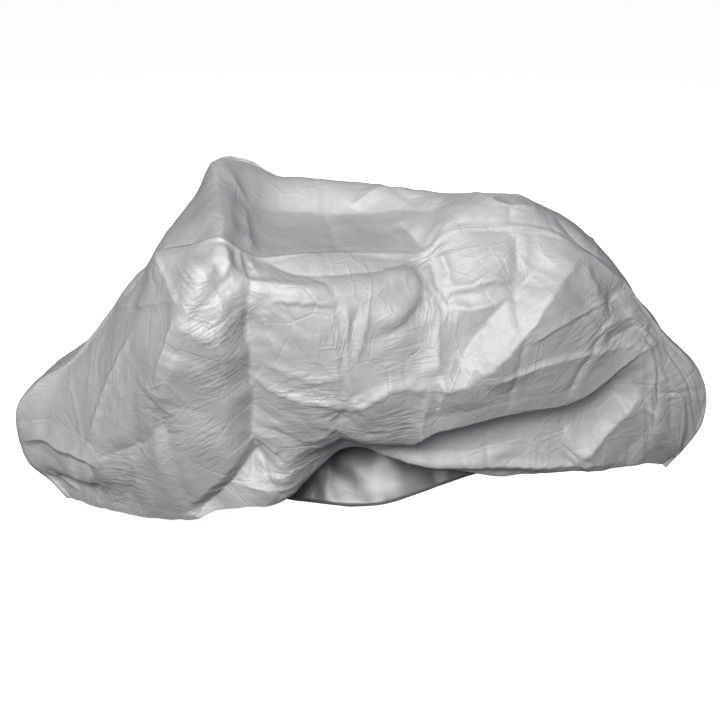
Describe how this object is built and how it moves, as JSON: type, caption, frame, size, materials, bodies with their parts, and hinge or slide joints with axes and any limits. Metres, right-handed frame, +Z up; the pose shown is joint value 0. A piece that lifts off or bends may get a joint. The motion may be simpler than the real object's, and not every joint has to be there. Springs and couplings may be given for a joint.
{
  "type": "bicycle cover",
  "caption": "Silver film cover draped over a bicycle: two side panels and a centre strip, open below, with a turned-in hem.",
  "frame": {"origin": "underside of the cover where the bicycle's saddle holds it up", "axes": "+X to the bicycle's rear, +Y to its far side, away from the kickstand, +Z up"},
  "size_m": [1.9055, 0.7285, 1.0045],
  "materials": {
    "silver_film": "silver-grey film with a soft pearly sheen, packing creases and fine crumples"
  },
  "bodies": {
    "root": {"near_side": "silver_film", "far_side": "silver_film", "centre_strip": "silver_film"}
  },
  "joints": []
}
